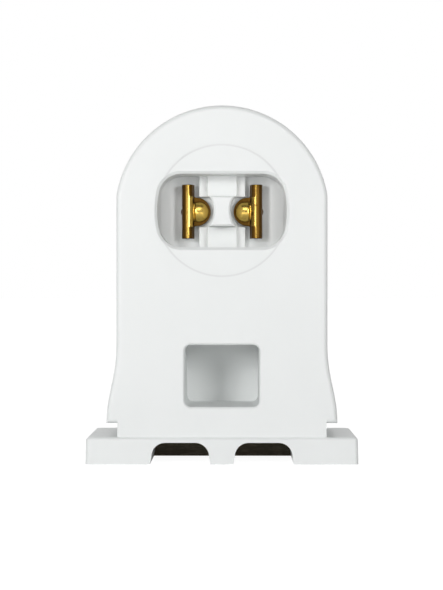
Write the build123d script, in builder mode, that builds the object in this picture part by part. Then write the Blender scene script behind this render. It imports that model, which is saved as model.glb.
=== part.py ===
from build123d import *
from math import asin, atan2, cos, degrees, hypot, radians, sin, sqrt, tan
import os

# Fixed-end holder for a recessed double-contact fluorescent tube, in millimetres.
# The moulded housing stands on its foot, its face looks along -Y and +Z is up. The origin is the
# middle of the foot's underside. Metalwork is made for the right-hand side and mirrored.

# Body outline, seen from the front
body_half_width = 14.55
arch_bulge = 0.19
arch_height = 34.68
shoulder_radius = 5.0
flare_top = 16.4
flare_radius = 22.0
flare_angle = 12.0
flare_return_radius = 18.8
lip_height = 5.63
face_edge_radius = 0.7
shell_wall = 1.6

# Neck and foot: the edge of a sheet-metal cut-out slides in between the lips and the foot
neck_half_width = 14.4
foot_height = 3.7
foot_half_width = 18.78
foot_end_draft = 0.08
foot_proud = 0.6
foot_front_corner = 0.6
foot_rear_corner = 1.3
foot_top_bevel = 0.25

# Wire channels that run under the foot from front to rear
channel_centre = 5.74
channel_half_width = 4.17
channel_height = 2.98
channel_side_height = 0.9
channel_side_lean = 0.2
channel_corner = 1.9

# Lamp pocket and the column that the lamp base fits round
lamp_axis = 34.93
pocket_half_width = 8.95
pocket_half_height = 5.08
pocket_end_radius = 13.0
pocket_corner = 3.1
pocket_depth = 7.2
pocket_draft = 1.0
pocket_mouth_bevel = 0.36
pocket_floor_radius = 3.0
pocket_floor_wall = 6.2
pocket_floor_skin = 2.2
core_margin = 1.0
cup_wall = 1.2
column_half_height = 2.07
column_half_width = 1.75
column_waist = 1.1
column_recess = 1.2
column_edge_bevel = 0.22
floor_rib_half_width = 2.1
floor_rib_height = 0.45
floor_step_half_width = 2.95
floor_step_height = 0.2

# Circular witness line of the mould insert round the pocket
witness_radius = 9.05
witness_width = 0.22
witness_depth = 0.14

# Window below the lamp pocket
window_half_width = 5.18
window_bottom = 7.88
window_top = 16.44
window_corner = 0.9
window_draft = 0.5
window_mouth_bevel = 0.2
window_wall = 1.1
window_floor_wall = 1.0

# Back plate, let into the rear of the housing below the rim
plate_thickness = 1.0
plate_recess = 6.8
plate_margin = 1.0
plate_clearance = 0.1
plate_play = 0.3

# Screws that hold the back plate on its bosses, and the barrier between the two live sides
boss_radius = 2.4
screw_radius = 1.05
screw_length = 7.0
screw_tip = 0.3
screw_head_radius = 2.1
screw_head_height = 1.1
screw_head_edge = 0.35
cross_recess_width = 0.55
cross_recess_span = 2.4
cross_recess_depth = 0.6
pilot_clearance = 0.05
pilot_spare_depth = 0.5
plate_hole_clearance = 0.35
barrier_thickness = 1.2

# Contact springs: bronze strip, hooked behind the pocket floor and folded over at the front
leaf_thickness = 0.4
leaf_half_height = 3.77
leaf_root_half_height = 3.42
leaf_root = 5.17
leaf_hook_length = 1.55
leaf_bend_radius = 0.5
leaf_straight = 0.3
leaf_play = 0.15
leaf_slot_play = 0.28
leaf_end_play = 0.12
leaf_narrow_length = 0.3
crest_depth = 4.5
crest_centre = 4.82
crest_radius = 0.6
tongue_depth = 6.0
tongue_tip = 1.6
tongue_half_height = 2.0
tongue_root_radius = 0.5
tip_dome_centre = 3.25
tip_dome_radius = 1.45
tip_dome_height = 0.4
dimple_depth = 5.9
dimple_radius = 0.6
dimple_height = 0.26

# Terminals: brass angle that carries the current from each spring down to the wire clamps
terminal_thickness = 0.6
terminal_head_bottom = 31.0
terminal_head_top = 38.4
terminal_head_inner = 4.3
terminal_shell_gap = 2.32
terminal_bottom = 7.4
terminal_wing_top = 20.5
terminal_wing_front_gap = 0.6
terminal_bend_radius = 0.3
terminal_play = 0.15
ledge_bottom = 23.6
ledge_height = 2.4
pad_inner = 7.4
pad_outer = 9.4
pad_half_height = 2.6
seat_play = 0.05

# Wire clamps: two spring-steel hairpins on each side, each above its own wire entry
deck_top = 5.2
entry_width = 2.4
entry_length = 3.0
entry_corner = 0.7
clamp_pitch = 5.0
clamp_width = 4.0
clamp_thickness = 0.3
clamp_top = 19.0
clamp_bend_radius = 0.85
clamp_tongue_top = 14.6
clamp_tongue_gap = 0.15
clamp_play = 0.12
divider_thickness = 0.7
divider_top = 18.0
divider_gap = 0.3

# How near two places count as one when an edge or face is picked, and the largest share of a
# straight that a rounding may take
same_place = 0.01
rounding_share = 0.95

# Depths along Y, worked out from the sizes above
overall_depth = (
    foot_proud
    + pocket_depth
    + pocket_floor_wall
    + 2 * leaf_play
    + leaf_thickness
    + terminal_thickness
    + plate_play
    + plate_thickness
    + plate_recess
)
foot_front = -overall_depth / 2
face = foot_front + foot_proud
shell_front = face + shell_wall
pocket_floor = face + pocket_depth
cup_rear = pocket_floor + pocket_floor_wall
hook_middle = cup_rear + leaf_play + leaf_thickness / 2
terminal_front = hook_middle + leaf_thickness / 2 + leaf_play
terminal_rear = terminal_front + terminal_thickness
plate_front = terminal_rear + plate_play
plate_rear = plate_front + plate_thickness
rear = plate_rear + plate_recess
window_floor = plate_front - window_floor_wall
clamp_middle = (shell_front + terminal_front) / 2

# Places across and up, worked out the same way
arch_radius = body_half_width + arch_bulge
shell_half_width = body_half_width - shell_wall
shell_top = arch_height + arch_radius - shell_wall
pocket_top = lamp_axis + pocket_half_height
pocket_bottom = lamp_axis - pocket_half_height
window_middle = (window_bottom + window_top) / 2
wing_inner = window_half_width + window_wall + terminal_play
wing_outer = wing_inner + terminal_thickness
wing_front = shell_front + terminal_wing_front_gap
entry_middle = wing_outer + entry_width / 2
terminal_outer = shell_half_width - terminal_shell_gap
divider_inner = wing_outer + divider_gap
inside_wall = shell_half_width + shell_wall / 2
inside_deck = deck_top - shell_wall / 2
boss_heights = {
    "lower_plate_screw": (window_top + window_wall + pocket_bottom - cup_wall) / 2,
    "upper_plate_screw": (pocket_top + cup_wall + shell_top) / 2,
}
clamp_depths = {
    "front": clamp_middle - clamp_pitch / 2,
    "rear": clamp_middle + clamp_pitch / 2,
}


def facing(depth):
    """A plane parallel to the face, at this depth along Y; extruding from it goes forwards."""
    return Plane.XZ.offset(-depth)


def arch_outline(inset, bottom, flared=False):
    """Sketch of the arch, inset from the outer one: a round top on straight or flared sides.

    A flared side leaves the upright on one arc and comes back to upright at the bottom on another.
    """
    radius = arch_radius - inset
    half_width = body_half_width - inset
    spring = arch_height + sqrt(radius**2 - half_width**2)
    side_bottom = flare_top if flared else bottom
    angle = radians(flare_angle)
    bend_x = half_width + flare_radius * (1 - cos(angle))
    bend_z = flare_top - flare_radius * sin(angle)
    return_z = bottom + flare_return_radius * sin(angle)
    return_x = bend_x + (bend_z - return_z) * tan(angle)
    foot_x = return_x + flare_return_radius * (1 - cos(angle)) if flared else half_width
    with BuildSketch() as outline:
        with BuildLine():
            for side in (1, -1):
                Line((side * half_width, side_bottom), (side * half_width, spring))
                if flared:
                    bend = (side * bend_x, bend_z)
                    turn_back = (side * return_x, return_z)
                    TangentArc((side * half_width, flare_top), bend, tangent=(0, -1))
                    Line(bend, turn_back)
                    TangentArc((side * foot_x, bottom), turn_back, tangent=(0, 1))
            ThreePointArc((half_width, spring), (0, arch_height + radius), (-half_width, spring))
            Line((-foot_x, bottom), (foot_x, bottom))
        make_face()
        shoulders = outline.vertices().filter_by(lambda corner: abs(corner.Y - spring) < same_place)
        fillet(shoulders, radius=shoulder_radius)
    return outline.sketch


def pocket_outline(margin=0.0):
    """Sketch of the lamp pocket: two wide end arcs cut by a flat top and bottom, corners rounded."""
    middle = pocket_end_radius - pocket_half_width
    corner_x = sqrt(pocket_end_radius**2 - pocket_half_height**2) - middle
    with BuildSketch() as outline:
        with BuildLine():
            for side in (1, -1):
                ThreePointArc(
                    (side * corner_x, pocket_half_height),
                    (side * pocket_half_width, 0),
                    (side * corner_x, -pocket_half_height),
                )
                Line((-corner_x, side * pocket_half_height), (corner_x, side * pocket_half_height))
        make_face()
        fillet(outline.vertices(), radius=pocket_corner)
        if margin:
            offset(amount=margin)
    return outline.sketch


def pressed_cap(radius, height, reach):
    """A shallow spherical cap on the XY plane, rising along +Z, as a punch leaves it in sheet.

    It is cut off flat where it would go further than reach along +X.
    """
    sphere_radius = (radius**2 + height**2) / (2 * height)
    with BuildPart() as cap:
        with Locations((0, 0, height - sphere_radius)):
            Sphere(sphere_radius, rotation=(90, 0, 0))
        split(bisect_by=Plane.XY, keep=Keep.TOP)
        if reach < radius:
            split(bisect_by=Plane.YZ.offset(reach), keep=Keep.BOTTOM)
    return cap.part


def hourglass_outline():
    """Sketch of the column: flat top and bottom, sides hollowed by an arc down to the waist."""
    with BuildSketch() as outline:
        with BuildLine():
            for side in (1, -1):
                ThreePointArc(
                    (side * column_half_width, column_half_height),
                    (side * column_waist, 0),
                    (side * column_half_width, -column_half_height),
                )
                Line(
                    (-column_half_width, side * column_half_height),
                    (column_half_width, side * column_half_height),
                )
        make_face()
    return outline.sketch


def channel_outline():
    """Sketch of one wire channel, seen from the front: splayed at the bottom, rounded at the top."""
    side = channel_half_width - channel_side_lean
    with BuildSketch() as outline:
        with BuildLine():
            Polyline(
                (-channel_half_width, 0),
                (-side, channel_side_height),
                (-side, channel_height),
                (side, channel_height),
                (side, channel_side_height),
                (channel_half_width, 0),
                close=True,
            )
        make_face()
        corner = min(channel_corner, rounding_share * (channel_height - channel_side_height))
        fillet(outline.vertices().group_by(Axis.Y)[-1], radius=corner)
    return outline.sketch


# The foot by itself, with its corners rounded
with BuildPart() as foot:
    with BuildSketch(facing(rear)):
        with BuildLine():
            Polyline(
                (-foot_half_width, 0),
                (foot_half_width, 0),
                (foot_half_width - foot_end_draft, foot_height),
                (-foot_half_width + foot_end_draft, foot_height),
                close=True,
            )
        make_face()
    extrude(amount=overall_depth)
    foot_ends = foot.edges().filter_by(lambda edge: abs(edge.center().Z - foot_height / 2) < same_place)
    fillet(foot_ends.group_by(Axis.Y)[-1], radius=foot_rear_corner)
    fillet(foot_ends.group_by(Axis.Y)[0], radius=foot_front_corner)
    chamfer(foot.faces().sort_by(Axis.Z)[-1].edges(), length=foot_top_bevel)

# The lamp pocket's hollow by itself, drafted, with its floor curving up into both ends
with BuildPart() as pocket_hollow:
    with BuildSketch(facing(face)):
        with Locations((0, lamp_axis)):
            add(pocket_outline())
    extrude(amount=-pocket_depth, taper=pocket_draft)
    with BuildSketch(Plane.XY.offset(pocket_bottom)) as plan:
        with Locations((0, pocket_floor)):
            Rectangle(2 * pocket_half_width, pocket_depth, align=(Align.CENTER, Align.MAX))
        fillet(plan.vertices().group_by(Axis.Y)[-1], radius=pocket_floor_radius)
    extrude(amount=pocket_top - pocket_bottom, mode=Mode.INTERSECT)

# The window's hollow by itself, drafted, with its corners rounded
with BuildPart() as window_hollow:
    with BuildSketch(facing(face)):
        with Locations((0, window_middle)):
            Rectangle(2 * window_half_width, window_top - window_bottom)
    extrude(amount=face - window_floor, taper=window_draft)
    fillet(window_hollow.edges().group_by(Axis.Y)[1], radius=window_corner)

# The housing: arched body and neck on the foot, in one moulding
with BuildPart() as housing:
    with BuildSketch(facing(rear)):
        add(arch_outline(0, lip_height, flared=True))
    extrude(amount=rear - face)
    fillet(housing.faces().sort_by(Axis.Y)[0].edges(), radius=face_edge_radius)
    with BuildSketch(facing(rear)):
        with Locations((0, lip_height)):
            Rectangle(2 * neck_half_width, 2 * (lip_height - foot_height / 2))
    extrude(amount=rear - face)
    add(foot.part)

    # Recess for the back plate, then the hollow of the shell
    with BuildSketch(facing(rear)):
        add(arch_outline(plate_margin, 0))
    extrude(amount=rear - plate_front, mode=Mode.SUBTRACT)
    with BuildSketch(facing(plate_front)):
        add(arch_outline(shell_wall, deck_top))
    extrude(amount=plate_front - shell_front, mode=Mode.SUBTRACT)

    # Cup round the lamp pocket, with a pad on each side that backs the terminal
    with BuildSketch(facing(cup_rear)):
        with Locations((0, lamp_axis)):
            add(pocket_outline(cup_wall))
    extrude(amount=cup_rear - shell_front + shell_wall / 2)
    with BuildSketch(facing(terminal_front - seat_play)):
        for side in (1, -1):
            with Locations((side * (pad_inner + pad_outer) / 2, lamp_axis)):
                Rectangle(pad_outer - pad_inner, 2 * pad_half_height)
    extrude(amount=terminal_front - cup_rear)

    # Core behind the pocket floor, between the springs, that leaves the floor an even skin there
    with BuildSketch(facing(cup_rear)):
        with Locations((0, lamp_axis)):
            Rectangle(
                2 * (leaf_root - leaf_thickness / 2 - leaf_slot_play - core_margin),
                2 * (pocket_half_height - core_margin),
            )
    extrude(amount=pocket_floor_wall - pocket_floor_skin, mode=Mode.SUBTRACT)

    # Box round the window, screw bosses, and the barrier between the two live sides
    with BuildSketch(facing(plate_front)):
        with Locations((0, window_middle)):
            RectangleRounded(
                2 * (window_half_width + window_wall),
                window_top - window_bottom + 2 * window_wall,
                window_corner + window_wall,
            )
        with Locations(*[(0, height) for height in boss_heights.values()]):
            Circle(boss_radius)
        for low, high in (
            (deck_top - shell_wall, window_bottom),
            (window_top, pocket_bottom - cup_wall),
            (pocket_top + cup_wall, shell_top + shell_wall / 2),
        ):
            with Locations((0, (low + high) / 2)):
                Rectangle(barrier_thickness, high - low)
    extrude(amount=plate_front - shell_front + shell_wall / 2)

    # Ledges that back the terminals, and the dividers between the front and rear wire clamps
    with BuildSketch(facing(terminal_front - seat_play)):
        for side in (1, -1):
            with Locations((side * (wing_inner + inside_wall) / 2, ledge_bottom + ledge_height / 2)):
                Rectangle(inside_wall - wing_inner, ledge_height)
    extrude(amount=terminal_front - shell_front + shell_wall / 2)
    with BuildSketch(facing(clamp_middle + divider_thickness / 2)):
        for side in (1, -1):
            with Locations((side * (divider_inner + inside_wall) / 2, (inside_deck + divider_top) / 2)):
                Rectangle(inside_wall - divider_inner, divider_top - inside_deck)
    extrude(amount=divider_thickness)

    # Lamp pocket and window, with their mouths eased
    add(pocket_hollow.part, mode=Mode.SUBTRACT)
    add(window_hollow.part, mode=Mode.SUBTRACT)
    for place, bevel in ((0, window_mouth_bevel), (-1, pocket_mouth_bevel)):
        front_face = housing.faces().filter_by(lambda found: abs(found.center().Y - face) < same_place)[0]
        mouth = front_face.inner_wires().sort_by(Axis.Z)[place]
        chamfer(mouth.edges(), length=bevel)

    # Ribs on the pocket floor and the hourglass column that stands on them
    for half_width, height in (
        (floor_step_half_width, floor_step_height),
        (floor_rib_half_width, floor_rib_height),
    ):
        with BuildSketch(facing(pocket_floor + cup_wall / 2)):
            with Locations((0, lamp_axis)):
                Rectangle(2 * half_width, 2 * pocket_half_height)
        extrude(amount=height + cup_wall / 2)
    with BuildSketch(facing(pocket_floor)):
        with Locations((0, lamp_axis)):
            add(hourglass_outline())
    extrude(amount=pocket_depth - column_recess)
    column_front = housing.faces().filter_by(
        lambda found: abs(found.center().Y - face - column_recess) < same_place
    )
    chamfer(column_front.edges(), length=column_edge_bevel)

    # Slots in the pocket floor for the contact springs
    with BuildSketch(facing(cup_rear)):
        with Locations(*[(side * leaf_root, lamp_axis) for side in (1, -1)]):
            Rectangle(leaf_thickness + 2 * leaf_slot_play, 2 * (leaf_root_half_height + leaf_end_play))
    extrude(amount=pocket_floor_wall + pocket_floor_radius, mode=Mode.SUBTRACT)

    # Wire channels under the foot, and the wire entries up through the deck
    with BuildSketch(facing(plate_front)):
        with Locations(*[(side * channel_centre, 0) for side in (1, -1)]):
            add(channel_outline())
    extrude(amount=plate_front - foot_front, mode=Mode.SUBTRACT)
    with BuildSketch(Plane.XY.offset(channel_side_height)):
        for depth in clamp_depths.values():
            with Locations((entry_middle, depth), (-entry_middle, depth)):
                RectangleRounded(entry_width, entry_length, entry_corner)
    extrude(amount=deck_top - channel_side_height, mode=Mode.SUBTRACT)

    # Pilot holes in the bosses
    with BuildSketch(facing(plate_front)):
        with Locations(*[(0, height) for height in boss_heights.values()]):
            Circle(screw_radius + pilot_clearance)
    extrude(amount=screw_length - plate_thickness + pilot_spare_depth, mode=Mode.SUBTRACT)

    # Witness line round the pocket
    with BuildSketch(facing(face)):
        with Locations((0, lamp_axis)):
            Circle(witness_radius + witness_width / 2)
            Circle(witness_radius - witness_width / 2, mode=Mode.SUBTRACT)
    extrude(amount=-witness_depth, mode=Mode.SUBTRACT)
housing.part.label = "housing"

# Dark fibre plate that closes the rear, down to the wire channels
with BuildPart() as back_plate:
    with BuildSketch(facing(plate_rear)):
        add(arch_outline(plate_margin + plate_clearance, plate_clearance))
        with Locations(*[(0, height) for height in boss_heights.values()]):
            Circle(screw_radius + plate_hole_clearance, mode=Mode.SUBTRACT)
    extrude(amount=plate_thickness)
back_plate.part.label = "back_plate"

# Contact spring: a profile seen from above, then cut to the blank's outline seen from the front
crest_middle = face + crest_depth + leaf_thickness / 2 + crest_radius
tongue_middle = face + tongue_depth + leaf_thickness / 2
leg_middle = (leaf_root + crest_centre + crest_radius) / 2
with BuildPart() as right_contact_spring:
    with BuildSketch(Plane.XY.offset(lamp_axis - leaf_half_height)):
        with BuildLine():
            Line((leaf_root + leaf_hook_length, hook_middle), (leaf_root + leaf_bend_radius, hook_middle))
            JernArc(
                (leaf_root + leaf_bend_radius, hook_middle),
                (-1, 0),
                leaf_bend_radius,
                90,
            )
            Line((leaf_root, hook_middle - leaf_bend_radius), (leaf_root, pocket_floor - leaf_straight))
            Spline(
                (leaf_root, pocket_floor - leaf_straight),
                (crest_centre + crest_radius, crest_middle),
                tangents=((0, -1), (0, -1)),
            )
            ThreePointArc(
                (crest_centre + crest_radius, crest_middle),
                (crest_centre, crest_middle - crest_radius),
                (crest_centre - crest_radius, crest_middle),
            )
            Line(
                (crest_centre - crest_radius, crest_middle),
                (crest_centre - crest_radius, tongue_middle - leaf_bend_radius),
            )
            JernArc(
                (crest_centre - crest_radius, tongue_middle - leaf_bend_radius),
                (0, 1),
                leaf_bend_radius,
                90,
            )
            Line(
                (crest_centre - crest_radius - leaf_bend_radius, tongue_middle),
                (tongue_tip, tongue_middle),
            )
        trace(line_width=leaf_thickness)
    extrude(amount=2 * leaf_half_height)
    with BuildSketch(facing(rear)) as blank:
        crest_inner = crest_centre - crest_radius - leaf_thickness / 2
        with Locations((crest_inner, lamp_axis)):
            Rectangle(foot_half_width, 2 * leaf_half_height, align=(Align.MIN, Align.CENTER))
        with Locations((tongue_tip + tongue_half_height, lamp_axis)):
            Circle(tongue_half_height)
        with Locations((tongue_tip + tongue_half_height, lamp_axis)):
            Rectangle(crest_inner - tongue_tip, 2 * tongue_half_height, align=(Align.MIN, Align.CENTER))
        root_corners = blank.vertices().filter_by(
            lambda corner: abs(corner.X - crest_inner) < same_place
            and abs(corner.Y - lamp_axis) < leaf_half_height - same_place
        )
        tongue_straight = crest_inner - tongue_tip - tongue_half_height
        fillet(root_corners, radius=min(tongue_root_radius, rounding_share * tongue_straight))
    extrude(amount=overall_depth, mode=Mode.INTERSECT)

    # Narrower where the leg goes down through the pocket floor
    for end in (1, -1):
        with BuildSketch(Plane.XY.offset(lamp_axis + end * leaf_root_half_height)):
            with Locations((leaf_root, pocket_floor - leaf_narrow_length)):
                Rectangle(foot_half_width, overall_depth, align=(Align.CENTER, Align.MIN))
        extrude(amount=end * leaf_half_height, mode=Mode.SUBTRACT)

    # Domed tip on the tongue and dimple on the outer leg, each raised on one face and hollow behind
    dome_reach = crest_centre - crest_radius - tip_dome_centre
    for shift, mode in ((-leaf_thickness / 2, Mode.ADD), (leaf_thickness / 2, Mode.SUBTRACT)):
        with Locations(facing(tongue_middle + shift) * Location((tip_dome_centre, lamp_axis, 0))):
            add(pressed_cap(tip_dome_radius, tip_dome_height, dome_reach), mode=mode)
        with Locations(Plane.YZ.offset(leg_middle - shift) * Location((face + dimple_depth, lamp_axis, 0))):
            add(pressed_cap(dimple_radius, dimple_height, dimple_radius), mode=mode)
right_contact_spring.part.label = "right_contact_spring"

# Terminal: a flat head behind the spring's hook, a strip down, and a wing bent forwards for the wires
terminal_middle = (terminal_front + terminal_rear) / 2
wing_middle = (wing_inner + wing_outer) / 2
terminal_bend = terminal_bend_radius + terminal_thickness / 2
with BuildPart() as right_terminal_strip:
    with BuildSketch(facing(terminal_rear)):
        with Locations((terminal_outer, terminal_head_bottom)):
            Rectangle(
                terminal_outer - terminal_head_inner,
                terminal_head_top - terminal_head_bottom,
                align=(Align.MAX, Align.MIN),
            )
        with Locations((terminal_outer, terminal_bottom)):
            Rectangle(
                terminal_outer - wing_outer - terminal_bend_radius,
                terminal_head_top - terminal_bottom,
                align=(Align.MAX, Align.MIN),
            )
    extrude(amount=terminal_thickness)
    with BuildSketch(Plane.XY.offset(terminal_bottom)):
        with BuildLine():
            Line((terminal_outer, terminal_middle), (wing_middle + terminal_bend, terminal_middle))
            JernArc((wing_middle + terminal_bend, terminal_middle), (-1, 0), terminal_bend, 90)
            Line((wing_middle, terminal_middle - terminal_bend), (wing_middle, wing_front))
        trace(line_width=terminal_thickness)
    extrude(amount=terminal_wing_top - terminal_bottom)
right_terminal_strip.part.label = "right_terminal_strip"

# Wire clamps: a hairpin whose tongue leans up against the terminal's wing
clamp_anchor = shell_half_width - clamp_play - clamp_thickness / 2
clamp_bend = clamp_anchor - clamp_bend_radius
clamp_bend_height = deck_top + clamp_play + clamp_thickness / 2 + clamp_bend_radius
clamp_tip = wing_outer + clamp_tongue_gap + clamp_thickness / 2
tongue_run = hypot(clamp_bend - clamp_tip, clamp_tongue_top - clamp_bend_height)
tongue_lean = atan2(clamp_bend - clamp_tip, clamp_tongue_top - clamp_bend_height)
tongue_lean -= asin(clamp_bend_radius / tongue_run)
tongue_start = (
    clamp_bend - clamp_bend_radius * cos(tongue_lean),
    clamp_bend_height - clamp_bend_radius * sin(tongue_lean),
)
right_clamps = {}
for place, depth in clamp_depths.items():
    with BuildPart() as clamp:
        with BuildSketch(facing(depth + clamp_width / 2)):
            with BuildLine():
                Line((clamp_anchor, clamp_top), (clamp_anchor, clamp_bend_height))
                CenterArc((clamp_bend, clamp_bend_height), clamp_bend_radius, 0, degrees(tongue_lean) - 180)
                Line(tongue_start, (clamp_tip, clamp_tongue_top))
            trace(line_width=clamp_thickness)
        extrude(amount=clamp_width)
    clamp.part.label = f"right_{place}_wire_clamp"
    right_clamps[place] = clamp.part

# Screws through the back plate into the bosses
screws = []
for name, height in boss_heights.items():
    with BuildPart() as screw:
        with BuildSketch(facing(plate_rear)):
            with Locations((0, height)):
                Circle(screw_head_radius)
        extrude(amount=-screw_head_height)
        chamfer(screw.edges().sort_by(Axis.Y)[-1], length=screw_head_edge)
        with BuildSketch(facing(plate_rear)):
            with Locations((0, height)):
                Circle(screw_radius)
        extrude(amount=screw_length)
        chamfer(screw.edges().sort_by(Axis.Y)[0], length=screw_tip)
        with BuildSketch(facing(plate_rear + screw_head_height)):
            with Locations((0, height)):
                Rectangle(cross_recess_span, cross_recess_width)
                Rectangle(cross_recess_width, cross_recess_span)
        extrude(amount=cross_recess_depth, mode=Mode.SUBTRACT)
    screw.part.label = name
    screws.append(screw.part)

pieces = [housing.part, back_plate.part, *screws]
for right_piece in (right_contact_spring.part, right_terminal_strip.part, *right_clamps.values()):
    with BuildPart() as left_piece:
        mirror(right_piece, about=Plane.YZ)
    left_piece.part.label = right_piece.label.replace("right", "left")
    pieces += [right_piece, left_piece.part]

os.makedirs("parts", exist_ok=True)
for piece in pieces:
    export_step(piece, f"parts/{piece.label}.step")
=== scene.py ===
import math

import bpy
import numpy as np
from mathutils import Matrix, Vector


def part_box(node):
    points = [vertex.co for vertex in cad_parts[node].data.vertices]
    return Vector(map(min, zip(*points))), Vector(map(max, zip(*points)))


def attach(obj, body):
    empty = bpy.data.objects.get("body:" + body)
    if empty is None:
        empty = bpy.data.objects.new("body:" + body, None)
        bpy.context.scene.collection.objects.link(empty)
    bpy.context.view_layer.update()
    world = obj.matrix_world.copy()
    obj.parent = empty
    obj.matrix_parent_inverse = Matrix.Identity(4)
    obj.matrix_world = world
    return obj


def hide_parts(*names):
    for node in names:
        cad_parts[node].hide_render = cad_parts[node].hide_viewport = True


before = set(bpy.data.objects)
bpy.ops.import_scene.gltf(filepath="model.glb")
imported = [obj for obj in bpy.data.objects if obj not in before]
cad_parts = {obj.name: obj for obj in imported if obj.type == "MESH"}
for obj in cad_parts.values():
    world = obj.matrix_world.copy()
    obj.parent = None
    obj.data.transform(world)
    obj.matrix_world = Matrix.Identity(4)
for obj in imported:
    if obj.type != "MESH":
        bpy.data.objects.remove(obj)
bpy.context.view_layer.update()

MM = 0.001

# Photograph: its size in pixels, the point where lines along the depth meet in it, and the focal
# length in pixels
PHOTO_WIDTH, PHOTO_HEIGHT = 443, 590
VANISHING_X, VANISHING_Y = 235, 290
FOCAL_PIXELS = 2330

# Camera: how far it stands in front of the foot, right of the middle and above the ground. The
# sensor's size is along the picture's height, in the lens's millimetres, and the range in metres
CAMERA_DISTANCE = 320 * MM
CAMERA_SIDE = 1.8 * MM
CAMERA_HEIGHT = 23.98 * MM
SENSOR = 36.0
CLIP_START, CLIP_END = 0.01, 20

# Lamps: azimuth, with 0 straight in front, and elevation in degrees, width and height in metres,
# power in watts. All stand at one distance and are aimed at the holder at the camera's height
LAMP_DISTANCE = 350 * MM
LAMPS = {
    "left_lamp": (-26.5, 8.5, 0.07, 0.075, 0.37),
    "right_lamp": (28.5, 8.5, 0.07, 0.075, 0.3),
    "high_fill": (0, 20, 0.15, 0.06, 0.12),
    "low_fill": (0, -3, 0.3, 0.04, 0.11),
    "side_fill": (-70, 5, 0.1, 0.12, 0.17),
}

# Surroundings: light from the front and from behind, the floor as other rays and as the camera find
# it, how strongly it glows for the camera, and its half width in metres
AMBIENT_FRONT, AMBIENT_BEHIND = 0.02, 0.5
FLOOR_LIT, FLOOR_SEEN = 0.75, 0.25
FLOOR_GLOW = 0.93
FLOOR_HALF_WIDTH = 6.0

# Finishes: the colours between which each one varies
WHITE_LOW, WHITE_HIGH = (0.865, 0.885, 0.878, 1), (0.888, 0.905, 0.90, 1)
# Painted shade for the witness line's groove
WITNESS_SHADE_COLOUR = (0.55, 0.54, 0.55, 1)
FIBRE_LOW, FIBRE_HIGH = (0.19, 0.155, 0.105, 1), (0.32, 0.27, 0.19, 1)
# The darker brass stands for painted dark reflection as well as tarnish, and the bright one carries
# the painted highlight
BRIGHT_BRASS, TARNISHED_AND_SHADED_BRASS = (0.74, 0.51, 0.12, 1), (0.11, 0.055, 0.01, 1)
PLATED_STEEL = (0.66, 0.67, 0.65, 1)
SPRING_STEEL = (0.50, 0.50, 0.49, 1)

# The foot stands this far in front of the face
FOOT_PROUD = 0.6 * MM

# Circular witness line of the mould insert round the pocket, as the construction has it. Painted
# shade in its groove has this share of the colour up to the first distance and none past the
# second, in millimetres from the line and behind the face
WITNESS_RADIUS = 9.05 * MM
WITNESS_SHADE_SHARE = 0.27
WITNESS_SHADE_FROM_LINE = 0.06, 0.18
WITNESS_SHADE_BEHIND_FACE = 0.2, 0.3

# Webs that join the pocket's column to its top and bottom walls, with a step on either side. Depths
# are behind the face, and they stand nearer to it than the construction's ribs
POCKET_DEPTH = 7.2 * MM
POCKET_HALF_HEIGHT = 5.08 * MM
COLUMN_HALF_HEIGHT = 2.07 * MM
WEB_DEPTH = 5.0 * MM
WEB_HALF_WIDTH = 2.1 * MM
WEB_STEP_DEPTH = 6.0 * MM
WEB_STEP_HALF_WIDTH = 3.25 * MM
WEB_EDGE_RADIUS = 0.15 * MM
WEB_ROOT = 0.3 * MM

# Contact springs: sizes of the folded strip. The edge radius is added here, the pull is fitted to
# the construction's spline, the tongue's root is tighter than there, and the rest is as it is there
LEAF_THICKNESS = 0.4 * MM
LEAF_EDGE_RADIUS = 0.09 * MM
LEAF_BEND_RADIUS = 0.5 * MM
LEAF_STRAIGHT = 0.3 * MM
LEAF_HOOK_LENGTH = 1.55 * MM
LEAF_PULL = 0.62 * MM
LEAF_ROOT_HALF_HEIGHT = 3.42 * MM
LEAF_NARROW_LENGTH = 0.3 * MM
POCKET_FLOOR_WALL = 6.2 * MM
LEAF_PLAY = 0.15 * MM
CREST_RADIUS = 0.6 * MM
LEG_TO_CREST = 0.35 * MM
TONGUE_HALF_HEIGHT = 2.0 * MM
TONGUE_ROOT_RADIUS = 0.4 * MM
TONGUE_BEHIND_CREST = 1.5 * MM
DOME_FROM_TIP = 1.65 * MM
DOME_RADIUS = 1.45 * MM
DOME_HEIGHT = 0.4 * MM
DIMPLE_RADIUS = 0.6 * MM
DIMPLE_HEIGHT = 0.26 * MM
DIMPLE_BEHIND_CREST = 1.4 * MM

# Meshes: distance between points along the strips and round the webs' corners, points on a strip's
# rounded edge, over its face and round its tip, rings in a web's rounded end, and the fewest points
# that a line or a curve gets
STRIP_SPACING = 0.09 * MM
WEB_SPACING = WEB_EDGE_RADIUS / 6
EDGE_POINTS, FACE_POINTS, TIP_POINTS = 5, 61, 40
WEB_END_RINGS = 6
FEWEST_ON_LINE, FEWEST_ON_CURVE = 2, 6

# Shading: new meshes are sharp above one angle, and the construction's nodes are smooth below the
# other, once points that lie closer than the last distance are one
SHARP_ABOVE = math.radians(40)
SMOOTH_BELOW = math.radians(32)
SAME_POINT = 0.001 * MM


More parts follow.
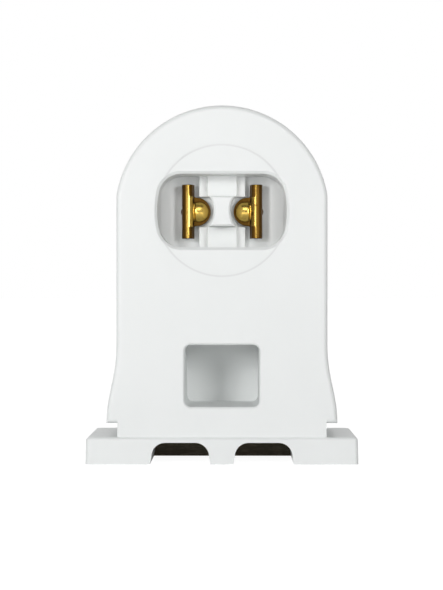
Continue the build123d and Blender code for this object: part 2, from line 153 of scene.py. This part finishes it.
class Socket:
    """One value in a shader tree. Python arithmetic on it adds Math nodes."""

    def __init__(self, shader, output):
        self.shader = shader
        self.output = output

    def math(self, operation, *values):
        """Adds a Math node with these values or sockets as its inputs."""
        return self.shader.node("ShaderNodeMath", {"operation": operation}, dict(enumerate(values)))

    def __add__(self, other):
        return self.math("ADD", self, other)

    def __sub__(self, other):
        return self.math("SUBTRACT", self, other)

    def __rsub__(self, other):
        return self.math("SUBTRACT", other, self)

    def __mul__(self, other):
        return self.math("MULTIPLY", self, other)

    def __pow__(self, other):
        return self.math("POWER", self, other)

    __radd__ = __add__
    __rmul__ = __mul__

    def __abs__(self):
        return self.math("ABSOLUTE", self)

    def rise(self, start, end):
        """0 below start, 1 above end, and a smooth step between them."""
        return self.shader.node(
            "ShaderNodeMapRange",
            {"interpolation_type": "SMOOTHSTEP"},
            {"Value": self, "From Min": start, "From Max": end},
        )


class Shader:
    """The node tree of a material or a world."""

    def __init__(self, owner):
        owner.use_nodes = True
        self.tree = owner.node_tree
        self.tree.nodes.clear()

    def node(self, kind, settings=None, values=None, output=0):
        """Adds a node: its settings come first, then the values or links of its sockets."""
        made = self.tree.nodes.new(kind)
        for name, value in (settings or {}).items():
            setattr(made, name, value)
        for name, value in (values or {}).items():
            if isinstance(value, Socket):
                self.tree.links.new(value.output, made.inputs[name])
            else:
                made.inputs[name].default_value = value
        return Socket(self, made.outputs[output]) if len(made.outputs) else None

    def blend(self, share, first, second):
        """Colour that goes from first to second as share goes from 0 to 1.

        A Mix node's inputs 6 and 7 are its two colours, and its output 2 is the colour between.
        """
        return self.node(
            "ShaderNodeMix", {"data_type": "RGBA"}, {"Factor": share, 6: first, 7: second}, output=2
        )

    def noise(self, place, scale, detail=2.0, roughness=0.5):
        """Cloudy pattern from 0 to 1, finer with a larger scale."""
        return self.node(
            "ShaderNodeTexNoise",
            {"noise_dimensions": "3D"},
            {"Vector": place, "Scale": scale, "Detail": detail, "Roughness": roughness},
        )

    def place(self, stretch=(1, 1, 1)):
        """Object coordinates in metres, multiplied along the three axes."""
        coordinates = self.node("ShaderNodeTexCoord", output="Object")
        return self.node("ShaderNodeMapping", {}, {"Vector": coordinates, "Scale": stretch})

    def axes(self):
        """The three object coordinates, in millimetres."""
        parts = self.node("ShaderNodeSeparateXYZ", {}, {"Vector": self.place()})
        return [Socket(self, output) * (1 / MM) for output in parts.output.node.outputs]

    def bump(self, height, distance):
        """Normal of a surface that stands out by height times distance."""
        values = {"Height": height, "Distance": distance, "Strength": 1.0}
        return self.node("ShaderNodeBump", {}, values)

    def surface(self, **values):
        """Principled surface; a socket's name is written with underscores for its spaces."""
        named = {name.replace("_", " "): value for name, value in values.items()}
        shaded = self.node("ShaderNodeBsdfPrincipled", {}, named)
        self.node("ShaderNodeOutputMaterial", {}, {"Surface": shaded})


def grey(level):
    """Neutral colour of that level."""
    return (level, level, level, 1.0)


def moulding_material():
    """White moulded plastic: satin, with a faint flow pattern and a fine mould texture.

    The witness line in the face has painted shade, so it is darker there.
    """
    material = bpy.data.materials.new("white_moulding")
    shader = Shader(material)
    place = shader.place()
    low, high = (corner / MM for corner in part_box("right_contact_spring"))
    face_y = (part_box("housing")[0].y + FOOT_PROUD) / MM
    witness_shade_y = [face_y + depth for depth in WITNESS_SHADE_BEHIND_FACE]
    x, y, z = shader.axes()
    from_axis = (x**2 + (z - (low.z + high.z) / 2) ** 2) ** 0.5
    # Painted shade: the witness line is darkened as if its groove were in shade
    on_line = 1 - abs(from_axis - WITNESS_RADIUS / MM).rise(*WITNESS_SHADE_FROM_LINE)
    witness_shade = WITNESS_SHADE_SHARE * on_line * (1 - y.rise(*witness_shade_y))
    flow = shader.noise(shader.place((1, 1, 0.35)), 260.0, 3.0)
    plastic = shader.blend(flow, WHITE_LOW, WHITE_HIGH)
    grain = shader.noise(place, 9000.0, 2.0, 0.6)
    ripple = shader.noise(place, 420.0, 2.0)
    shader.surface(
        Base_Color=shader.blend(witness_shade, plastic, WITNESS_SHADE_COLOUR),
        Roughness=0.34 + 0.08 * grain + 0.05 * flow,
        Normal=shader.bump(grain * 0.35 + ripple * 4.0, 0.004 * MM),
        IOR=1.5,
    )
    return material


def fibre_material():
    """Dark pressed fibre: matt, with short level fibres that show a little lighter."""
    material = bpy.data.materials.new("dark_fibre")
    shader = Shader(material)
    strands = shader.noise(shader.place((1, 1, 6)), 900.0, 4.0, 0.65)
    cloud = shader.noise(shader.place(), 180.0, 2.0)
    shader.surface(
        Base_Color=shader.blend(strands.rise(0.42, 0.75), FIBRE_LOW, FIBRE_HIGH),
        Roughness=0.62 + 0.2 * cloud,
        Normal=shader.bump(strands, 0.02 * MM),
    )
    return material


def brass_material():
    """Rolled brass, painted highlight on the fold's front and domed tip, painted shade elsewhere.

    The painted dark reflection is deepest on the outer half of the fold, beside the tongue's root
    and round the dome, tarnished patches add to it, and the right strip is darker on its fold. The
    bands are in millimetres, measured outwards from the middle of the fold, up or down from the
    lamp's axis, and from the dome.
    """
    material = bpy.data.materials.new("contact_brass")
    shader = Shader(material)
    low, high = (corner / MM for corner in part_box("right_contact_spring"))
    crest_x = high.x - (LEAF_HOOK_LENGTH + LEG_TO_CREST) / MM
    dome_x = low.x + DOME_FROM_TIP / MM
    x, _, z = shader.axes()
    across = abs(x) - crest_x
    height = z - (low.z + high.z) / 2
    from_dome = ((abs(x) - dome_x) ** 2 + height**2) ** 0.5
    lines = shader.noise(shader.place((1, 1, 26)), 900.0, 3.0, 0.6)
    patches = shader.noise(shader.place(), 1100.0, 3.0, 0.6)
    # Painted dark reflection: the outer half of the fold, beside the tongue's root and round the
    # dome
    outer = across.rise(-0.02, 0.22) * (1 - across.rise(0.9, 1.1))
    on_fold = across.rise(-0.85, -0.7)
    beside = abs(height).rise(1.9, 2.4) * (1 - across.rise(-0.3, -0.1)) * on_fold
    rim = from_dome.rise(1.2, 1.5) * (1 - on_fold)
    right_side = 0.4 * x.rise(-1.0, 1.0)
    bands = (outer + beside + rim) * (0.8 + 0.4 * patches)
    # Random tarnished patches add to the painted bands, and the right strip is darker on its fold
    painted_shade_and_tarnish = bands + 0.5 * patches.rise(0.5, 0.8) + right_side * on_fold
    # Where nothing darkens it, bright brass is left as a painted highlight on the fold's front and
    # the dome
    shader.surface(
        Base_Color=shader.blend(painted_shade_and_tarnish.rise(0.0, 0.8), BRIGHT_BRASS, TARNISHED_AND_SHADED_BRASS),
        Metallic=1.0,
        Roughness=0.17 + 0.2 * painted_shade_and_tarnish.rise(0.0, 1.0) + 0.05 * lines,
        Normal=shader.bump(lines + patches, 0.006 * MM),
    )
    return material


def steel_material(name, colour, roughness):
    """Plain or plated steel with fine drawing lines, where it is up to a fifth darker."""
    material = bpy.data.materials.new(name)
    shader = Shader(material)
    lines = shader.noise(shader.place((1, 14, 1)), 1200.0, 3.0, 0.6)
    darker = tuple(0.8 * part for part in colour[:3]) + (1.0,)
    shader.surface(
        Base_Color=shader.blend(lines, colour, darker),
        Metallic=1.0,
        Roughness=roughness + 0.12 * lines,
        Normal=shader.bump(lines, 0.006 * MM),
    )
    return material


def wear(piece, material):
    """Gives a piece this one material."""
    piece.data.materials.clear()
    piece.data.materials.append(material)


def straight(start, end, spacing):
    """Points from start towards end, without the end itself."""
    start, end = np.array(start), np.array(end)
    count = max(FEWEST_ON_LINE, int(np.linalg.norm(end - start) / spacing))
    share = np.linspace(0, 1, count, endpoint=False)[:, None]
    return start + share * (end - start)


def arc(centre, radius, first, last, spacing):
    """Points on a circle from the first angle to the last, in degrees, without the last point."""
    turn = math.radians(last - first)
    count = max(FEWEST_ON_CURVE, int(abs(turn) * radius / spacing))
    angle = math.radians(first) + np.linspace(0, turn, count, endpoint=False)
    return np.array(centre) + radius * np.stack([np.cos(angle), np.sin(angle)], axis=1)


def easy_bend(start, end, pull, spacing):
    """Cubic curve between two points, without the end: it leaves and arrives along -y."""
    start, end = np.array(start), np.array(end)
    count = max(FEWEST_ON_CURVE, int(np.linalg.norm(end - start) / spacing))
    t = np.linspace(0, 1, count, endpoint=False)[:, None]
    down = np.array([0, -pull])
    return (
        (1 - t) ** 3 * start
        + 3 * (1 - t) ** 2 * t * (start + down)
        + 3 * (1 - t) * t**2 * (end - down)
        + t**3 * end
    )


def cap_height(distance, radius, height):
    """Height of a spherical cap at a distance from its middle; zero outside its rim."""
    ball = (radius**2 + height**2) / (2 * height)
    inside = np.clip(ball**2 - distance**2, 0, None)
    return np.clip(np.sqrt(inside) - (ball - height), 0, None)


def rounded_bar_section():
    """Closed loop round a flat bar's section, along one face and back along the other.

    Each row is (share, out, face, lift): the share of the flat part's half height, from -1 to 1,
    how many edge radii the point lies beyond that, the face's sign, and how far the quarter
    circle has come to that face, from 0 at the bar's edge to 1 on the flat.
    """
    quarter = np.linspace(0, math.pi / 2, EDGE_POINTS)
    flat = np.linspace(-1, 1, FACE_POINTS)[1:-1]
    rows = []
    for face in (-1, 1):
        rows += [(face, face * math.cos(angle), face, math.sin(angle)) for angle in quarter]
        rows += [(-face * share, 0.0, face, 1.0) for share in flat]
        rows += [(-face, -face * math.cos(angle), face, math.sin(angle)) for angle in quarter[::-1]]
    return np.array(rows)


def spring_path(low, high):
    """Midline of the right-hand strip seen from above, from the hook's end to the tongue's tip.

    It comes with three places along it, where the narrow root ends, where the leg ends and where
    the bend to the tongue begins, and with the crest's middle, the tongue's depth and the tip.
    """
    hook_y = high.y - LEAF_THICKNESS / 2
    crest_y = low.y + LEAF_THICKNESS / 2 + CREST_RADIUS
    tongue_y = low.y + TONGUE_BEHIND_CREST + LEAF_THICKNESS / 2
    hook_end = high.x
    tip = low.x
    root_x = hook_end - LEAF_HOOK_LENGTH
    crest_x = root_x - LEG_TO_CREST
    inner_x = crest_x - CREST_RADIUS
    bend = LEAF_BEND_RADIUS
    floor_y = hook_y - LEAF_THICKNESS / 2 - LEAF_PLAY - POCKET_FLOOR_WALL
    rise_y = floor_y - LEAF_STRAIGHT
    spacing = STRIP_SPACING
    leg = [
        straight((hook_end, hook_y), (root_x + bend, hook_y), spacing),
        arc((root_x + bend, hook_y - bend), bend, 90, 180, spacing),
        straight((root_x, hook_y - bend), (root_x, rise_y), spacing),
        easy_bend((root_x, rise_y), (crest_x + CREST_RADIUS, crest_y), LEAF_PULL, spacing),
    ]
    fold = [
        arc((crest_x, crest_y), CREST_RADIUS, 0, -180, spacing),
        straight((inner_x, crest_y), (inner_x, tongue_y - bend), spacing),
    ]
    angle = np.linspace(0, math.pi / 2, TIP_POINTS)
    tip_x = tip + TONGUE_HALF_HEIGHT * (1 - np.sin(angle))
    tongue = [
        arc((inner_x - bend, tongue_y - bend), bend, 0, 90, spacing),
        straight((inner_x - bend, tongue_y), (tip + TONGUE_HALF_HEIGHT, tongue_y), spacing),
        np.stack([tip_x, np.full(TIP_POINTS, tongue_y)], axis=1),
    ]
    path = np.concatenate(leg + fold + tongue)
    narrow_end = int(np.argmax(path[:, 1] < floor_y - LEAF_NARROW_LENGTH))
    leg_end = sum(len(run) for run in leg)
    tongue_start = sum(len(run) for run in leg + fold)
    return path, (narrow_end, leg_end, tongue_start), (crest_x, crest_y, tongue_y, tip)


def contact_spring(side, material):
    """Folded strip: a rounded bar section carried along the midline seen from above.

    The section's half height follows the blank's outline, full height up to the fold and then the
    round-ended tongue, and both faces move together by a spherical cap at the tip and the dimple.
    """
    low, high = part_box("right_contact_spring")
    middle_z = (low.z + high.z) / 2
    full = (high.z - low.z) / 2
    path, marks, places = spring_path(low, high)
    narrow_end, leg_end, tongue_start = marks
    crest_x, crest_y, tongue_y, tip = places
    forward = np.gradient(path, axis=0)
    forward /= np.linalg.norm(forward, axis=1)[:, None]
    normal = np.stack([forward[:, 1], -forward[:, 0]], axis=1)

    # Half height: narrow root, full height, and a tongue with hollow corners and a round end
    inner_edge = crest_x - CREST_RADIUS - LEAF_THICKNESS / 2
    x = path[:, 0]
    index = np.arange(len(path))
    on_tongue = (index >= tongue_start) & (x < inner_edge)
    from_root = np.clip(x - (inner_edge - TONGUE_ROOT_RADIUS), 0, TONGUE_ROOT_RADIUS)
    root = TONGUE_ROOT_RADIUS - np.sqrt(TONGUE_ROOT_RADIUS**2 - from_root**2)
    tip_run = np.clip(tip + TONGUE_HALF_HEIGHT - x, 0, TONGUE_HALF_HEIGHT)
    round_end = np.sqrt(TONGUE_HALF_HEIGHT**2 - tip_run**2)
    half = np.where(on_tongue, round_end + root, full)
    half[:narrow_end] = LEAF_ROOT_HALF_HEIGHT

    # The height steps at the tongue and at the root, so each gets a second ring of the other height
    for step, height in ((int(np.argmax(on_tongue)), full), (narrow_end, LEAF_ROOT_HALF_HEIGHT)):
        path = np.insert(path, step, path[step], axis=0)
        normal = np.insert(normal, step, normal[step], axis=0)
        index = np.insert(index, step, index[step])
        half = np.insert(half, step, height)

    # One row of the grid for each place along the path, one column for each point of the section
    share, out, face, lift = rounded_bar_section().T
    radius = np.minimum(LEAF_EDGE_RADIUS, half / 2)[:, None]
    z = share * (half[:, None] - radius) + out * radius
    depth = face * (LEAF_THICKNESS / 2 - radius * (1 - lift))
    x, y, index = path[:, :1], path[:, 1:], index[:, None]
    from_dome = np.hypot(x - (tip + DOME_FROM_TIP), z)
    past_bend = np.clip((y - tongue_y + LEAF_BEND_RADIUS) / LEAF_BEND_RADIUS, 0, 1) ** 2
    dome = cap_height(from_dome, DOME_RADIUS, DOME_HEIGHT) * past_bend * (index > tongue_start)
    from_dimple = np.hypot(y - (crest_y - CREST_RADIUS + DIMPLE_BEHIND_CREST), z)
    dimple = cap_height(from_dimple, DIMPLE_RADIUS, DIMPLE_HEIGHT) * (index < leg_end)
    grid_x = x + normal[:, :1] * depth + dimple
    grid_y = y + normal[:, 1:] * depth - dome

    # The left strip is the mirror image, so its faces run the other way round
    sign = 1 if side == "right" else -1
    grid = np.stack([sign * grid_x, grid_y, z + middle_z], axis=2)
    piece = grid_mesh(f"{side}_contact_strip", grid, flip=side == "right")
    wear(piece, material)
    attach(piece, f"{side}_contact")
    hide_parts(f"{side}_contact_spring")


def web_section(face_y, inset):
    """Outline of a web seen from above, drawn in by inset: a narrow top on a wider step.

    Its outer corners are quarter circles, and it goes down into the pocket's floor.
    """
    radius = WEB_EDGE_RADIUS
    root_y = face_y + POCKET_DEPTH + WEB_ROOT
    half = []
    for half_width, depth in ((WEB_HALF_WIDTH, WEB_DEPTH), (WEB_STEP_HALF_WIDTH, WEB_STEP_DEPTH)):
        side_x = half_width - inset
        front_y = face_y + depth + inset
        half.append(arc((side_x - radius, front_y + radius), radius, -90, 0, WEB_SPACING))
        half.append([(side_x, front_y + radius)])
        if half_width == WEB_HALF_WIDTH:
            half.append([(side_x, face_y + WEB_STEP_DEPTH + inset)])
    half.append([(WEB_STEP_HALF_WIDTH - inset, root_y)])
    right = np.concatenate(half)
    return np.concatenate([right, right[::-1] * (-1, 1)])


def pocket_web(name, end, material):
    """Web above (end 1) or below (end -1) the column: the section carried up or down into the wall.

    Towards the column its end is rounded, inset = radius (1 - sin a) while it starts at radius
    (1 - cos a).
    """
    low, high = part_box("right_contact_spring")
    axis_z = (low.z + high.z) / 2
    face_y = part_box("housing")[0].y + FOOT_PROUD
    angles = np.linspace(0, math.pi / 2, WEB_END_RINGS)
    insets = WEB_EDGE_RADIUS * (1 - np.sin(angles))
    starts = COLUMN_HALF_HEIGHT + WEB_EDGE_RADIUS * (1 - np.cos(angles))
    insets, starts = np.append(insets, 0), np.append(starts, POCKET_HALF_HEIGHT + WEB_ROOT)
    rings = []
    for inset, start in zip(insets, starts):
        outline = web_section(face_y, inset)
        rings.append(np.column_stack([outline, np.full(len(outline), axis_z + end * start)]))
    piece = grid_mesh(name, np.stack(rings), flip=end > 0)
    wear(piece, material)
    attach(piece, "holder")


def grid_mesh(name, grid, flip):
    """Tube of quads over a grid of rings, closed by a fan at each end; flip turns its faces."""
    rings, around = grid.shape[:2]
    points = grid.reshape(-1, 3)
    ends = np.stack([grid[0].mean(axis=0), grid[-1].mean(axis=0)])
    points = np.concatenate([points, ends])
    ring, step = np.meshgrid(np.arange(rings - 1), np.arange(around), indexing="ij")
    following = (step + 1) % around
    here, there = ring * around, (ring + 1) * around
    quads = np.stack([here + step, there + step, there + following, here + following], axis=2)
    quads = quads.reshape(-1, 4)
    turn = np.arange(around)
    after = (turn + 1) % around
    last = (rings - 1) * around
    first_fan = np.stack([np.full(around, rings * around), turn, after], axis=1)
    last_fan = np.stack([np.full(around, rings * around + 1), last + after, last + turn], axis=1)
    if flip:
        quads, first_fan, last_fan = quads[:, ::-1], first_fan[:, ::-1], last_fan[:, ::-1]
    mesh = bpy.data.meshes.new(name)
    faces = quads.tolist() + first_fan.tolist() + last_fan.tolist()
    mesh.from_pydata(points.tolist(), [], faces)
    mesh.shade_smooth()
    mesh.set_sharp_from_angle(angle=SHARP_ABOVE)
    mesh.update()
    piece = bpy.data.objects.new(name, mesh)
    bpy.context.scene.collection.objects.link(piece)
    return piece


def smooth_node(piece):
    """Merges a CAD node's loose triangles and shades its round faces smooth."""
    group = bpy.data.node_groups.get("smooth_faces") or smooth_faces_group()
    piece.modifiers.new("smooth_faces", "NODES").node_group = group


def smooth_faces_group():
    """Geometry group: merge by distance, smooth faces, and sharp edges above an angle."""
    group = bpy.data.node_groups.new("smooth_faces", "GeometryNodeTree")
    group.interface.new_socket("Geometry", in_out="INPUT", socket_type="NodeSocketGeometry")
    group.interface.new_socket("Geometry", in_out="OUTPUT", socket_type="NodeSocketGeometry")
    nodes, links = group.nodes, group.links
    start = nodes.new("NodeGroupInput")
    end = nodes.new("NodeGroupOutput")
    merge = nodes.new("GeometryNodeMergeByDistance")
    merge.inputs["Distance"].default_value = SAME_POINT
    faces = nodes.new("GeometryNodeSetShadeSmooth")
    faces.domain = "FACE"
    angle = nodes.new("GeometryNodeInputMeshEdgeAngle")
    below = nodes.new("FunctionNodeCompare")
    below.operation = "LESS_THAN"
    below.inputs[1].default_value = SMOOTH_BELOW
    edges = nodes.new("GeometryNodeSetShadeSmooth")
    edges.domain = "EDGE"
    links.new(start.outputs[0], merge.inputs[0])
    links.new(merge.outputs[0], faces.inputs[0])
    links.new(faces.outputs[0], edges.inputs[0])
    links.new(angle.outputs[0], below.inputs[0])
    links.new(below.outputs[0], edges.inputs["Shade Smooth"])
    links.new(edges.outputs[0], end.inputs[0])
    return group


def set_camera():
    """Camera in front of the foot, turned so that lines along the depth meet as in the photo."""
    data = bpy.data.cameras.new("camera")
    data.sensor_width = SENSOR
    data.lens = SENSOR * FOCAL_PIXELS / PHOTO_HEIGHT
    data.clip_start = CLIP_START
    data.clip_end = CLIP_END
    camera = bpy.data.objects.new("camera", data)
    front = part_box("housing")[0].y
    camera.location = (CAMERA_SIDE, front - CAMERA_DISTANCE, CAMERA_HEIGHT)
    turned = math.atan2(VANISHING_X - PHOTO_WIDTH / 2, FOCAL_PIXELS)
    dipped = math.atan2(PHOTO_HEIGHT / 2 - VANISHING_Y, FOCAL_PIXELS)
    camera.rotation_euler = (math.radians(90) - dipped, 0, turned)
    bpy.context.scene.collection.objects.link(camera)
    bpy.context.scene.camera = camera


def soft_lamp(name, azimuth, elevation, width, height, power):
    """Flat lamp aimed at the holder, at the camera's height."""
    data = bpy.data.lights.new(name, "AREA")
    data.shape = "RECTANGLE"
    data.size, data.size_y = width, height
    data.energy = power
    lamp = bpy.data.objects.new(name, data)
    a, e = math.radians(azimuth), math.radians(elevation)
    away = np.array([math.sin(a) * math.cos(e), -math.cos(a) * math.cos(e), math.sin(e)])
    lamp.location = away * LAMP_DISTANCE + np.array([0, 0, CAMERA_HEIGHT])
    lamp.rotation_euler = (math.radians(90) - e, 0, a)
    bpy.context.scene.collection.objects.link(lamp)


def set_world():
    """White for the camera and for reflections of what is behind, and soft light elsewhere."""
    world = bpy.data.worlds.new("studio")
    bpy.context.scene.world = world
    shader = Shader(world)
    direction = shader.node("ShaderNodeTexCoord", output="Generated")
    backwards = shader.node("ShaderNodeSeparateXYZ", {}, {"Vector": direction}, output="Y")
    behind = backwards.rise(-0.35, 0.25)
    seen = shader.node("ShaderNodeLightPath", output="Is Camera Ray")
    glossy = shader.node("ShaderNodeLightPath", output="Is Glossy Ray")
    looked_at = seen.math("MAXIMUM", seen, glossy * behind)
    ambient = shader.blend(behind, grey(AMBIENT_FRONT), grey(AMBIENT_BEHIND))
    colour = shader.blend(looked_at, ambient, grey(1.0))
    background = shader.node("ShaderNodeBackground", {}, {"Color": colour, "Strength": 1.0})
    shader.node("ShaderNodeOutputWorld", {}, {"Surface": background})


def set_floor():
    """Wide pale floor that reads as white and keeps the holder's shadow."""
    size = FLOOR_HALF_WIDTH
    mesh = bpy.data.meshes.new("floor")
    corners = [(-size, -size, 0), (size, -size, 0), (size, size, 0), (-size, size, 0)]
    mesh.from_pydata(corners, [], [(0, 1, 2, 3)])
    floor = bpy.data.objects.new("floor", mesh)
    bpy.context.scene.collection.objects.link(floor)
    material = bpy.data.materials.new("floor")
    shader = Shader(material)
    seen = shader.node("ShaderNodeLightPath", output="Is Camera Ray")
    shader.surface(
        Base_Color=shader.blend(seen, grey(FLOOR_LIT), grey(FLOOR_SEEN)),
        Roughness=0.9,
        Emission_Color=shader.blend(seen, grey(0.0), grey(1.0)),
        Emission_Strength=FLOOR_GLOW,
    )
    floor.data.materials.append(material)


white = moulding_material()
brass = brass_material()
fibre = fibre_material()
plated_steel = steel_material("plated_steel", PLATED_STEEL, 0.25)
spring_steel = steel_material("spring_steel", SPRING_STEEL, 0.3)
finishes = {
    "housing": white,
    "back_plate": fibre,
    "upper_plate_screw": plated_steel,
    "lower_plate_screw": plated_steel,
}
for side in ("left", "right"):
    finishes[f"{side}_terminal_strip"] = brass
    for place in ("front", "rear"):
        finishes[f"{side}_{place}_wire_clamp"] = spring_steel
for node, material in finishes.items():
    wear(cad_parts[node], material)
    smooth_node(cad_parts[node])
for side in ("left", "right"):
    contact_spring(side, brass)
pocket_web("upper_web", 1, white)
pocket_web("lower_web", -1, white)

set_camera()
set_world()
set_floor()
for name, values in LAMPS.items():
    soft_lamp(name, *values)

bpy.context.scene.view_settings.view_transform = "Standard"
